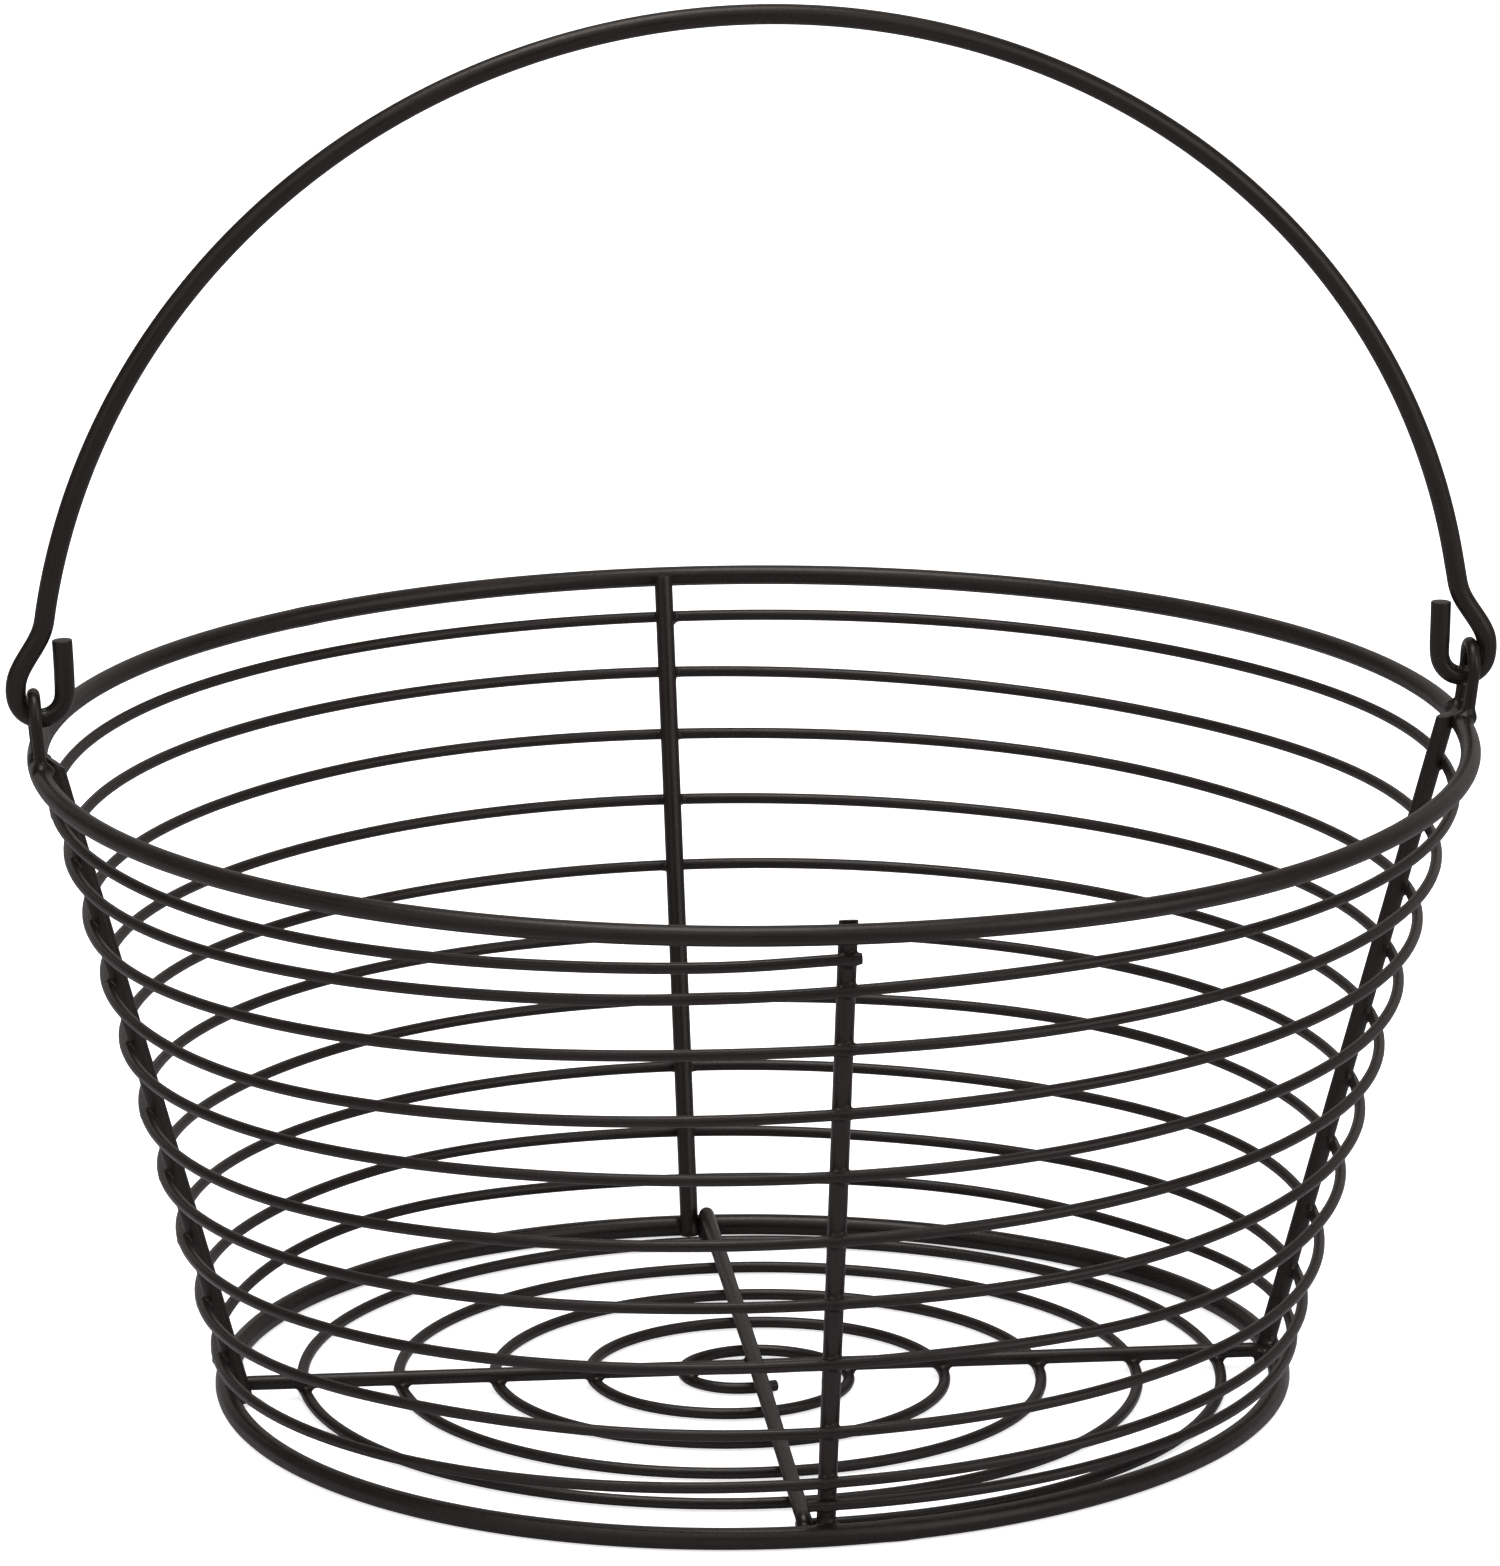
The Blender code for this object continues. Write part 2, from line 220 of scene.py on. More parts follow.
def resample(points, spacing):
    """Even steps along a polyline, through a smooth curve's fine samples."""
    lengths = np.r_[0, np.cumsum(np.linalg.norm(np.diff(points, axis=0), axis=1))]
    count = max(int(round(lengths[-1] / spacing)), 2)
    stations = np.linspace(0, lengths[-1], count + 1)
    return np.stack([np.interp(stations, lengths, points[:, i]) for i in range(3)], -1)


def wall_line():
    """The uprights' radius at the foot ring's height, and its slope up the wall,
    so that they clear the foot ring and the rim by the weld gap."""
    slope = (RIM_RADIUS - BASE_RADIUS) / (RIM_HEIGHT - BASE_HEIGHT)
    for _ in range(8):
        lean = math.cos(math.atan(slope))
        low = BASE_RADIUS - (BASE_WIRE + UPRIGHT_WIRE + WELD_GAP) / lean
        high = RIM_RADIUS - (RIM_WIRE + UPRIGHT_WIRE + WELD_GAP) / lean
        slope = (high - low) / (RIM_HEIGHT - BASE_HEIGHT)
    return low, slope


WALL_LOW, WALL_SLOPE = wall_line()
WALL_LEAN = math.cos(math.atan(WALL_SLOPE))


def upright_radius(z):
    return WALL_LOW + WALL_SLOPE * (z - BASE_HEIGHT)


def side_radius(z):
    return upright_radius(z) + (UPRIGHT_WIRE + SIDE_WIRE + WELD_GAP) / WALL_LEAN


def coil_radius(z):
    return side_radius(z) + SIDE_FULL - SIDE_TAPER * z / SIDE_START_Z


def lean_x(z):
    return WALL_LEAN_X * np.clip(z / RIM_HEIGHT, 0, 2) ** 0.8


def ease_in(turn, start, ease):
    return ease * np.log1p(np.exp((turn - start) / ease))


def side_height(turn):
    drop = SIDE_PITCH * (ease_in(turn, SIDE_HUG_TURNS, SIDE_HUG_EASE)
                         - ease_in(0.0, SIDE_HUG_TURNS, SIDE_HUG_EASE))
    close = SIDE_CLOSE_RATE * ease_in(turn, SIDE_CLOSE_TURN, SIDE_CLOSE_EASE)
    slack = SIDE_SLACK * np.exp(-0.5 * ((turn - SIDE_SLACK_TURN) / SIDE_SLACK_SPREAD) ** 2)
    angle = TAU * turn
    uneven = sum(sag * np.exp(-((turn - at) / spread) ** 2) for at, sag, spread in SIDE_UNEVEN)
    return (SIDE_START_Z - drop + close - slack - uneven
            - SIDE_ASKEW * np.sin(angle) - SIDE_NOD * np.cos(angle))


def spring(turn, phase):
    """A coil is never quite even between the quarter turns, where it is held."""
    between = np.sin(TAU * turn) ** 2 * np.cos(TAU * turn) ** 2 * 4
    return between * (np.sin(TAU * 0.73 * turn + phase)
                      + 0.6 * np.sin(TAU * 2.31 * turn + 2.1 * phase))


def side_points():
    """From below the rim at the front down to the foot, clockwise seen from above."""
    start = -SIDE_START_STUB / (TAU * side_radius(SIDE_START_Z))
    end_z = side_height(float(SIDE_TURNS))
    end = SIDE_TURNS + SIDE_END_STUB / (TAU * side_radius(end_z))
    turn = np.linspace(start, end, int((end - start) * SIDE_STEPS))
    z = side_height(turn)
    radius = coil_radius(z) + 0.00016 * spring(turn, phase=0.7)
    z = z + 0.00013 * spring(turn, phase=2.4)
    return polar_points(radius, FRONT - TAU * turn, z, centre=(lean_x(z), 0.0))


def side_point(turn):
    """Where the side coil is welded, without its spring."""
    z = float(side_height(float(turn)))
    return coil_radius(z) * outward_at(FRONT - TAU * turn) + np.array([lean_x(z), 0.0, z])


def floor_points():
    turn = np.linspace(FLOOR_START_TURN, FLOOR_END_TURN,
                       int((FLOOR_END_TURN - FLOOR_START_TURN) * FLOOR_STEPS))
    radius = (FLOOR_INNER + FLOOR_PITCH * turn
              + FLOOR_START_EXTRA * np.exp(-(turn - FLOOR_START_TURN) / FLOOR_START_DECAY)
              - FLOOR_CLOSE_RATE * np.clip(turn - FLOOR_CLOSE_TURN, 0, None) ** 2
              + 0.00018 * spring(turn, phase=1.3))
    return polar_points(radius, FRONT - TAU * turn, FLOOR_HEIGHT, FLOOR_CENTRE)


def rim_points(steps):
    """Slightly oval, and pressed down a little to the right of the front upright."""
    angle = ring_angles(steps)
    radius = RIM_RADIUS - RIM_OVAL * np.cos(2 * angle)
    dip = RIM_DIP * np.exp(-(angle_gap(angle, RIM_DIP_AT) / RIM_DIP_SPREAD) ** 2)
    return polar_points(radius, angle, RIM_HEIGHT - dip, centre=(RIM_CENTRE_X, 0.0))


def foot_radius(angle):
    return BASE_RADIUS + sum(cosine * np.cos(order * angle) + sine * np.sin(order * angle)
                             for order, cosine, sine in FOOT_OUT_OF_ROUND)


def foot_points(steps):
    """Sprung out of round where the uprights and the bars pull on it."""
    angle = ring_angles(steps)
    return polar_points(foot_radius(angle), angle, BASE_WIRE + COAT)


def upright_points(name, azimuth):
    z = np.linspace(UPRIGHT_FOOT_Z, UPRIGHT_TOP_Z - UPRIGHT_SHORT, 90)
    share = (z - z[0]) / (z[-1] - z[0])
    low_side, top_side, low_out, top_out = UPRIGHT_SET[name]
    sink = UPRIGHT_SINK_LOW + (UPRIGHT_SINK_TOP - UPRIGHT_SINK_LOW) * (z / RIM_HEIGHT)
    radius = upright_radius(z) + UPRIGHT_SINK_LOW + (sink - UPRIGHT_SINK_LOW)
    radius = radius + low_out + (top_out - low_out) * share
    side = low_side + (top_side - low_side) * share
    x, y = radius * math.cos(azimuth), radius * math.sin(azimuth)
    if name in ("front", "back"):
        x = x + side
    else:
        y = y + side
    return np.stack([x, y, z], -1)


def bar_points(azimuth, height, radius, first_in=0.0, first_low=0.0, last_low=0.0):
    """Straight, with each end turned down against the inside of the foot ring.
    first_in shortens the end at azimuth; the lows sink each end below the middle."""
    reach = BASE_RADIUS - BASE_WIRE - radius - WELD_GAP + BAR_SINK
    bend = 1.6 * radius
    angle = np.linspace(0, np.pi / 2, 12)
    out = np.r_[reach, reach - bend + bend * np.cos(angle)]
    z = np.r_[BAR_FOOT_Z, height - bend + bend * np.sin(angle)]
    sink = np.r_[0.0, np.ones(len(angle))] * np.clip(out / reach, 0, 1)
    z = np.r_[z - first_low * sink, height, (z - last_low * sink)[::-1]]
    out = np.r_[out - first_in, 0, -out[::-1]]
    return resample(outward_at(azimuth) * out[:, None] + UP * z[:, None], 0.0006)


def handle_points():
    inner = HOOK_HALF_SPAN - HOOK_RADIUS
    outer = HOOK_HALF_SPAN + HOOK_RADIUS
    bend_z = HINGE_Z + HOOK_RADIUS
    share = np.linspace(0, 1, 12)[:-1]
    tip = (inner + HOOK_TIP_LEAN * (1 - share) ** 1.5,
           HOOK_TIP_Z + (bend_z - HOOK_TIP_Z) * share)
    angle = np.linspace(np.pi, TAU, 40)
    hook = (HOOK_HALF_SPAN + HOOK_RADIUS * np.cos(angle), bend_z + HOOK_RADIUS * np.sin(angle))
    share = np.linspace(0, 1, 30)[1:]
    low_sine = (ARCH_LOW_Z - ARCH_BASE_Z) / ARCH_RISE
    join = ARCH_HALF_WIDTH * math.sqrt(1 - low_sine ** 2)
    kick = (outer + (join - outer) * smoothstep(share),
            KICK_LOW_Z + (ARCH_LOW_Z - KICK_LOW_Z) * share)
    angle = np.linspace(math.asin(low_sine), np.pi / 2, 160)[1:]
    arch = (ARCH_HALF_WIDTH * np.cos(angle), ARCH_BASE_Z + ARCH_RISE * np.sin(angle))
    x, z = np.concatenate([tip, hook, kick, arch], axis=1)
    x, z = np.r_[x, -x[-2::-1]], np.r_[z, z[-2::-1]]
    points = resample(np.stack([HANDLE_CENTRE_X + x, np.zeros_like(x), z], -1), 0.0006)
    # round the joins of the straight, hook, kick and arch, as a bender leaves them
    points = smoothed(points, passes=10)
    # it hangs a touch crooked in its eyelets
    cosine, sine = math.cos(HANDLE_CROOKED), math.sin(HANDLE_CROOKED)
    x, z = points[:, 0] - HANDLE_CENTRE_X, points[:, 2] - ARCH_BASE_Z
    points[:, 0] = HANDLE_CENTRE_X + cosine * x + sine * z
    points[:, 2] = ARCH_BASE_Z - sine * x + cosine * z + HANDLE_LIFT
    fade = smoothstep(np.clip((HOOK_OFF_TOP_Z - points[:, 2]) / HOOK_OFF_FADE, 0, 1))
    left = points[:, 0] < 0
    points[:, 2] -= np.where(left, LEFT_HOOK_OFF[0], RIGHT_HOOK_OFF[0]) * fade
    points[:, 0] += np.where(left, LEFT_HOOK_OFF[1], RIGHT_HOOK_OFF[1]) * fade
    return points


def eyelet_points(side, shift, raised, inset):
    x = HANDLE_CENTRE_X + side * EYELET_HALF_SPAN
    half = EYELET_WIDTH / 2
    arc_z = EYELET_TOP_Z - half + raised
    foot_z = RIM_HEIGHT + EYELET_FOOT_RISE
    angle = np.linspace(np.pi, 0, 40)
    y = np.r_[-half, half * np.cos(angle), half]
    z = np.r_[foot_z, arc_z + half * np.sin(angle), foot_z]
    points = np.stack([np.full_like(y, x + shift), y, z], -1)
    # the feet lean in to meet the crown of the rim
    rim_x = side * math.sqrt(RIM_RADIUS ** 2 - half ** 2)
    lean = np.clip((arc_z - points[:, 2]) / (arc_z - foot_z), 0, 1)
    foot_x = rim_x + RIM_CENTRE_X - side * (RIM_OVAL + inset)
    points[:, 0] += (foot_x - points[:, 0]) * lean
    return smoothed(resample(points, 0.0004), passes=6)


# ------------------------------------------------------------- meshing a wire
WIRES = {}                  # every swept wire by name
# a cut end's rounded lip: depth from the end, share of the wire's radius
END_LIP = np.array([(0.0, 0.90), (0.00003, 0.955), (0.00009, 0.99), (0.00020, 1.0)])
END_CLEAR = 0.0007          # the line's own points keep this far from a cut end
END_DOME = 0.00005


def new_object(name, verts, faces):
    mesh = bpy.data.meshes.new(name)
    mesh.from_pydata(verts.tolist(), [], faces)
    mesh.validate()
    mesh.shade_smooth()
    obj = bpy.data.objects.new(name, mesh)
    bpy.context.scene.collection.objects.link(obj)
    return obj


def store(obj, name, values):
    """A point attribute: vectors from a table, floats from a plain array."""
    kind, key = ("FLOAT_VECTOR", "vector") if values.ndim == 2 else ("FLOAT", "value")
    attribute = obj.data.attributes.new(name, kind, "POINT")
    attribute.data.foreach_set(key, np.asarray(values, np.float32).ravel())


def sweep(name, points, radius, sides, flat_axis, closed=False, swell=1.0, squeeze=0.0,
          cut=None):
    """A round wire along points.  swell scales its radius point by point;
    squeeze flattens it slightly on the inside of a bend.  Cut ends get the
    rounded lip and slight dome that a shear and the coating leave; cut is
    the direction the far end's face looks, where it isn't square."""
    count = len(points)
    if closed:
        tangent = np.roll(points, -1, 0) - np.roll(points, 1, 0)
    else:
        tangent = np.gradient(points, axis=0)
    tangent /= np.linalg.norm(tangent, axis=1)[:, None]
    radii = np.full(count, radius + COAT) * swell
    squeeze = np.zeros(count) + squeeze
    along = np.r_[0, np.cumsum(np.linalg.norm(np.diff(points, axis=0), axis=1))]
    if not closed:
        depth, share = END_LIP.T
        none = np.zeros(len(depth))
        keep = (along > END_CLEAR) & (along < along[-1] - END_CLEAR)
        points = np.vstack([points[0] + tangent[0] * depth[:, None], points[keep],
                            points[-1] - tangent[-1] * depth[::-1, None]])
        tangent = np.vstack([np.tile(tangent[0], (len(depth), 1)), tangent[keep],
                             np.tile(tangent[-1], (len(depth), 1))])
        radii = np.r_[radii[0] * share, radii[keep], radii[-1] * share[::-1]]
        along = np.r_[depth, along[keep], along[-1] - depth[::-1]]
        squeeze = np.r_[none, squeeze[keep], none]
        count = len(points)
    flat = np.asarray(flat_axis, float)
    up = flat[None] - tangent * (tangent @ flat)[:, None]
    up /= np.linalg.norm(up, axis=1)[:, None]
    across = np.cross(tangent, up)
    angle = TAU * (np.arange(sides) + 0.5) / sides
    up_part = radii[:, None] * np.cos(angle)[None] * (1 + 0.6 * squeeze)[:, None]
    across_part = radii[:, None] * np.sin(angle)[None] * (1 - squeeze)[:, None]
    offset = up[:, None] * up_part[:, :, None] + across[:, None] * across_part[:, :, None]
    verts = points[:, None] + offset
    if cut is not None:
        slope = -(offset @ cut) / (tangent[-1] @ cut)
        fade = np.clip(1 - (along[-1] - along) / CUT_FADE, 0, 1)
        verts += tangent[-1] * (slope * fade[:, None])[:, :, None]
    space = np.stack([np.repeat(along[:, None], sides, 1), up_part, across_part], -1)
    verts, space = verts.reshape(-1, 3), space.reshape(-1, 3)
    i = np.arange(count if closed else count - 1)[:, None]
    k = np.arange(sides)[None]
    here, ahead, beside = i * sides, (i + 1) % count * sides, (k + 1) % sides
    faces = np.stack([here + k, here + beside, ahead + beside, ahead + k], -1)
    faces = faces.reshape(-1, 4).tolist()
    if not closed:
        verts = np.vstack([verts, points[0] - tangent[0] * END_DOME,
                           points[-1] + tangent[-1] * END_DOME])
        space = np.vstack([space, [along[0], 0, 0], [along[-1], 0, 0]])
        near_tip, far_tip, last = count * sides, count * sides + 1, (count - 1) * sides
        for k in range(sides):
            beside = (k + 1) % sides
            faces.append([near_tip, beside, k])
            faces.append([far_tip, last + k, last + beside])
    WIRES[name] = new_object(name, verts, faces)
    store(WIRES[name], "wire_space", space)


# ------------------------------------------------------------- meshing a bead
def segment_distance(spots, line):
    """Distance from spots to a polyline."""
    gaps = []
    for start, end in zip(line[:-1], line[1:]):
        run = end - start
        share = np.clip(((spots - start) @ run) / max(run @ run, 1e-18), 0, 1)
        gaps.append(np.linalg.norm(spots - start - share[:, None] * run, axis=1))
    return np.min(gaps, axis=0)


def near(line, centre, reach):
    """The stretch of a polyline within reach of a point, thinned out."""
    gap = np.linalg.norm(line - centre, axis=1)
    close = np.nonzero(gap < reach)[0]
    if len(close) == 0:
        close = np.array([int(gap.argmin())])
    low = high = int(gap[close].argmin())
    while low > 0 and close[low] - close[low - 1] == 1:
        low -= 1
    while high < len(close) - 1 and close[high + 1] - close[high] == 1:
        high += 1
    piece = line[max(close[low] - 1, 0):min(close[high] + 2, len(line))]
    thin = piece[::max(len(piece) // 8, 1)]
    if not np.allclose(thin[-1], piece[-1]):
        thin = np.vstack([thin, piece[-1]])
    return thin


def wire_distance(spots, line, radius, centre, reach):
    """Signed distance to a wire with square-cut ends, near a point."""
    looped = np.linalg.norm(line[0] - line[-1]) < 0.003
    if looped:
        middle = int(np.linalg.norm(line - centre, axis=1).argmin())
        line = np.roll(line, len(line) // 2 - middle, axis=0)
    gap = segment_distance(spots, near(line, centre, reach + 0.003)) - radius - COAT
    if not looped:
        for end, inner in ((line[0], line[3]), (line[-1], line[-4])):
            if np.linalg.norm(end - centre) < reach + 0.004:
                out = (end - inner) / np.linalg.norm(end - inner)
                gap = np.maximum(gap, (spots - end) @ out + 0.00012)
    return gap


def soft_min(one, other, blend):
    overlap = np.clip(blend - np.abs(one - other), 0, None) / blend
    return np.minimum(one, other) - overlap * overlap * blend * 0.25


def ripple(spots, seed, size=0.0022):
    """A smooth lumpy field, about -1 to 1, from a few seeded waves."""
    rng = np.random.default_rng(seed)
    total = np.zeros(len(spots))
    for _ in range(5):
        direction = rng.normal(size=3)
        direction /= np.linalg.norm(direction)
        total += np.sin(spots @ direction * (TAU / (size * rng.uniform(0.7, 1.5)))
                        + rng.uniform(0, 6.28))
    return total / 3.2


def net(values, origin, cell):
    """Closed quad surface of values = 0, by surface nets."""
    inside = values < 0
    shape = np.array(values.shape) - 1
    corners = list(itertools.product((0, 1), repeat=3))

    def at_corner(grid, corner):
        return grid[tuple(slice(c, c + size) for c, size in zip(corner, shape))]

    # each cell's point is the mean of where the surface crosses its edges
    count = sum(at_corner(inside, corner) for corner in corners)
    total = np.zeros((*shape, 3))
    hits = np.zeros(shape)
    base = np.moveaxis(np.indices(shape), 0, -1).astype(float)
    for axis in range(3):
        for start in corners:
            if start[axis]:
                continue
            end = list(start)
            end[axis] = 1
            low, high = at_corner(values, start), at_corner(values, end)
            cross = (low < 0) != (high < 0)
            share = np.where(cross, low / np.where(low == high, 1, low - high), 0)
            spot = base + np.array(start, float)
            spot[..., axis] += share
            total += spot * cross[..., None]
            hits += cross
    active = (count > 0) & (count < 8)
    index = np.full(shape, -1)
    index[active] = np.arange(active.sum())
    verts = total[active] / hits[active][:, None] * cell + origin

    # each crossed edge joins the four cells around it
    faces = []
    for axis in range(3):
        second, third = (axis + 1) % 3, (axis + 2) % 3
        low = np.moveaxis(inside, axis, 0)[:-1]
        high = np.moveaxis(inside, axis, 0)[1:]
        cross = np.nonzero(low != high)
        cells = np.zeros((len(cross[0]), 3), int)
        cells[:, [axis] + [m for m in range(3) if m != axis]] = np.transpose(cross)
        whole = ((cells[:, second] >= 1) & (cells[:, third] >= 1)
                 & (cells[:, second] < shape[second]) & (cells[:, third] < shape[third]))
        cells = cells[whole]
        forward = low[cross][whole]
        around = []
        for second_step, third_step in ((-1, -1), (0, -1), (0, 0), (-1, 0)):
            moved = cells.copy()
            moved[:, second] += second_step
            moved[:, third] += third_step
            around.append(index[tuple(moved.T)])
        quad = np.stack(around, -1)
        quad[~forward] = quad[~forward][:, ::-1]
        faces.append(quad)
    return verts, np.vstack(faces)


WELD_SPOTS = []             # centre and reach of every bead; their count seeds the lumps
BEAD_UNDER = 0.00005        # how far a bead dips inside the wires away from the joint


class Welds:
    """Beads of one group, merged into one piece.  Each bead is two wires
    blended softly where they meet; away from the joint it dips just inside them."""

    def __init__(self, name):
        self.name, self.verts, self.faces, self.total = name, [], [], 0

    def bead(self, centre, first, second, reach, blend, cell, blob=None, lump=0.00006):
        """first and second are (line, radius); blob is an extra (offset, half sizes)."""
        WELD_SPOTS.append((centre, reach))
        steps = int(math.ceil(2 * reach / cell)) + 4
        origin = centre - cell * (steps - 1) / 2
        axis = np.arange(steps) * cell
        grid = np.stack(np.meshgrid(axis, axis, axis, indexing="ij"), -1)
        spots = grid.reshape(-1, 3) + origin
        field = soft_min(*(wire_distance(spots, line, radius, centre, reach) + BEAD_UNDER
                           for line, radius in (first, second)), blend)
        bump = ripple(spots, 1000 + len(WELD_SPOTS)) * lump
        if blob:
            offset, size = blob
            scaled = (spots - centre - np.asarray(offset)) / np.asarray(size)
            gap = (np.linalg.norm(scaled, axis=1) - 1) * float(np.min(size))
            field = soft_min(field, gap + bump, blend)
        away = np.linalg.norm(spots - centre, axis=1) / reach
        field = field + bump * np.clip(1.25 - 1.6 * away, 0, 1)
        field = np.maximum(field, (away - 1) * reach)
        verts, faces = net(field.reshape(steps, steps, steps), origin, cell)
        self.verts.append(verts)
        self.faces.append(faces + self.total)
        self.total += len(verts)

    def make(self):
        verts = np.vstack(self.verts)
        obj = new_object(self.name, verts, np.vstack(self.faces).tolist())
        store(obj, "wire_space", verts)
        return obj


# ---------------------------------------------------------------- the wires
rim_line = rim_points(480)
foot_line = foot_points(420)
side_line = side_points()
floor_line = floor_points()
BAR_FB_AZIMUTH = math.pi / 2 + BAR_TWIST
lr_line = bar_points(BAR_TWIST, BAR_LR_Z, BAR_LR_WIRE)
fb_line = bar_points(BAR_FB_AZIMUTH, BAR_FB_Z, BAR_FB_WIRE, first_in=BACK_FOOT_IN,
                     first_low=BAR_FB_BACK_LOW, last_low=BAR_FB_FRONT_LOW)
handle_line = handle_points()
upright_lines = {name: upright_points(name, azimuth) for name, azimuth, _ in UPRIGHTS}
eyelet_lines = {name: eyelet_points(*setting) for name, setting in EYELET_SET.items()}


def ring_swell(line, azimuth, radius, amount, length):
    """A ring's butt weld: a slightly swollen, dressed joint."""
    gap = angle_gap(ring_angles(len(line)), azimuth) * radius / length
    return 1 + (amount * np.exp(-gap ** 2) - 0.4 * amount * np.exp(-(gap / 0.28) ** 2))


def upright(name, azimuth):
    line, face = upright_lines[name], None
    if name in UPRIGHT_CUT:
        degrees, run_on = UPRIGHT_CUT[name]
        slant = math.radians(degrees)
        face = UP * math.cos(slant) - outward_at(azimuth) * math.sin(slant)
        step = line[-1] - line[-2]
        line = np.vstack([line, line[-1] + step * run_on / np.linalg.norm(step)])
    sweep(f"{name}_upright_wire", line, UPRIGHT_WIRE, sides=24,
          flat_axis=sideways_at(azimuth), cut=face)


def eyelet(name):
    line = eyelet_lines[name]
    bend = np.clip((line[:, 2] - (EYELET_TOP_Z - EYELET_WIDTH / 2)) / 0.003, 0, 1)
    sweep(f"{name}_eyelet_wire", line, EYELET_WIRE, sides=18, flat_axis=(1, 0, 0),
          squeeze=0.05 * bend)


def bail_handle():
    bend = np.clip((HINGE_Z + HOOK_RADIUS * 1.3 - handle_line[:, 2]) / 0.004, 0, 1)
    sweep("bail_handle_wire", handle_line, HANDLE_WIRE, sides=24, flat_axis=(0, 1, 0),
          squeeze=0.05 * bend)


sweep("rim_wire", rim_line, RIM_WIRE, sides=24, flat_axis=UP, closed=True,
      swell=ring_swell(rim_line, math.radians(123), RIM_RADIUS, amount=0.05, length=0.0024))
sweep("foot_ring_wire", foot_line, BASE_WIRE, sides=24, flat_axis=UP, closed=True,
      swell=ring_swell(foot_line, math.radians(-82), BASE_RADIUS, amount=0.06, length=0.0026))
for name, azimuth, _ in UPRIGHTS:
    upright(name, azimuth)
sweep("side_coil_wire", side_line, SIDE_WIRE, sides=16, flat_axis=UP)
sweep("floor_coil_wire", floor_line, FLOOR_WIRE, sides=16, flat_axis=UP)
sweep("left_right_floor_bar_wire", lr_line, BAR_LR_WIRE, sides=20,
      flat_axis=sideways_at(BAR_TWIST))
sweep("front_back_floor_bar_wire", fb_line, BAR_FB_WIRE, sides=20,
      flat_axis=sideways_at(BAR_FB_AZIMUTH))
for name in ("left", "right"):
    eyelet(name)
bail_handle()

# ---------------------------------------------------------------- the welds
RIM = (rim_line, RIM_WIRE)
FOOT_RING = (foot_line, BASE_WIRE)
FLOOR_COIL = (floor_line, FLOOR_WIRE)
BAR_LR = (lr_line, BAR_LR_WIRE)
BAR_FB = (fb_line, BAR_FB_WIRE)


def side_coil_welds(name, azimuth, phase):
    """Where the side coil passes one upright, each with its own sagging blob."""
    group = Welds(f"side_coil_welds_{name}")
    outward = outward_at(azimuth)
    for k in range(SIDE_TURNS + 1):
        turn = k + phase
        if turn > SIDE_TURNS + 0.01:
            continue
        rng = np.random.default_rng(51 + len(WELD_SPOTS))
        drop = UP * -rng.uniform(0.0003, 0.0010)
        shift = sideways_at(azimuth) * rng.uniform(-0.0006, 0.0006)
        size = (rng.uniform(0.0013, 0.0018), rng.uniform(0.0013, 0.0018),
                rng.uniform(0.0008, 0.0013))
        group.bead(side_point(turn) - outward * (SIDE_WIRE * 0.75),
                   (side_line, SIDE_WIRE), (upright_lines[name], UPRIGHT_WIRE),
                   reach=0.0042, blend=0.0013, cell=0.00030,
                   blob=(drop + shift - outward * 0.0002, size))
    return group.make()


def rim_welds():
    group = Welds("rim_welds")
    out = 0.0014            # out and down from the upright's top to the bead
    for name, azimuth, _ in UPRIGHTS:
        line = upright_lines[name]
        seat = line[-8]
        centre = np.array([seat[0], seat[1], RIM_HEIGHT - out]) + outward_at(azimuth) * out
        group.bead(centre, RIM, (line[:-2], UPRIGHT_WIRE),
                   reach=0.0048, blend=0.0013, cell=0.00030, lump=0.00007)
    return group.make()


def foot_ring_welds():
    """The uprights, then both ends of each floor bar."""
    group = Welds("foot_ring_welds")
    height = UP * (BASE_HEIGHT + 0.0004)
    for name, azimuth, _ in UPRIGHTS:
        centre = outward_at(azimuth) * (foot_radius(azimuth) - BASE_WIRE * 0.9) + height
        group.bead(centre, FOOT_RING, (upright_lines[name], UPRIGHT_WIRE),
                   reach=0.0056, blend=0.0021, cell=0.00034, lump=0.00009)
    for bar, azimuth in ((BAR_LR, BAR_TWIST), (BAR_FB, BAR_FB_AZIMUTH)):
        for sign, end in ((1, azimuth), (-1, azimuth + math.pi)):
            centre = sign * outward_at(azimuth) * (foot_radius(end) - BASE_WIRE) + height
            group.bead(centre, FOOT_RING, bar,
                       reach=0.0050, blend=0.0018, cell=0.00034, lump=0.00008)
    return group.make()


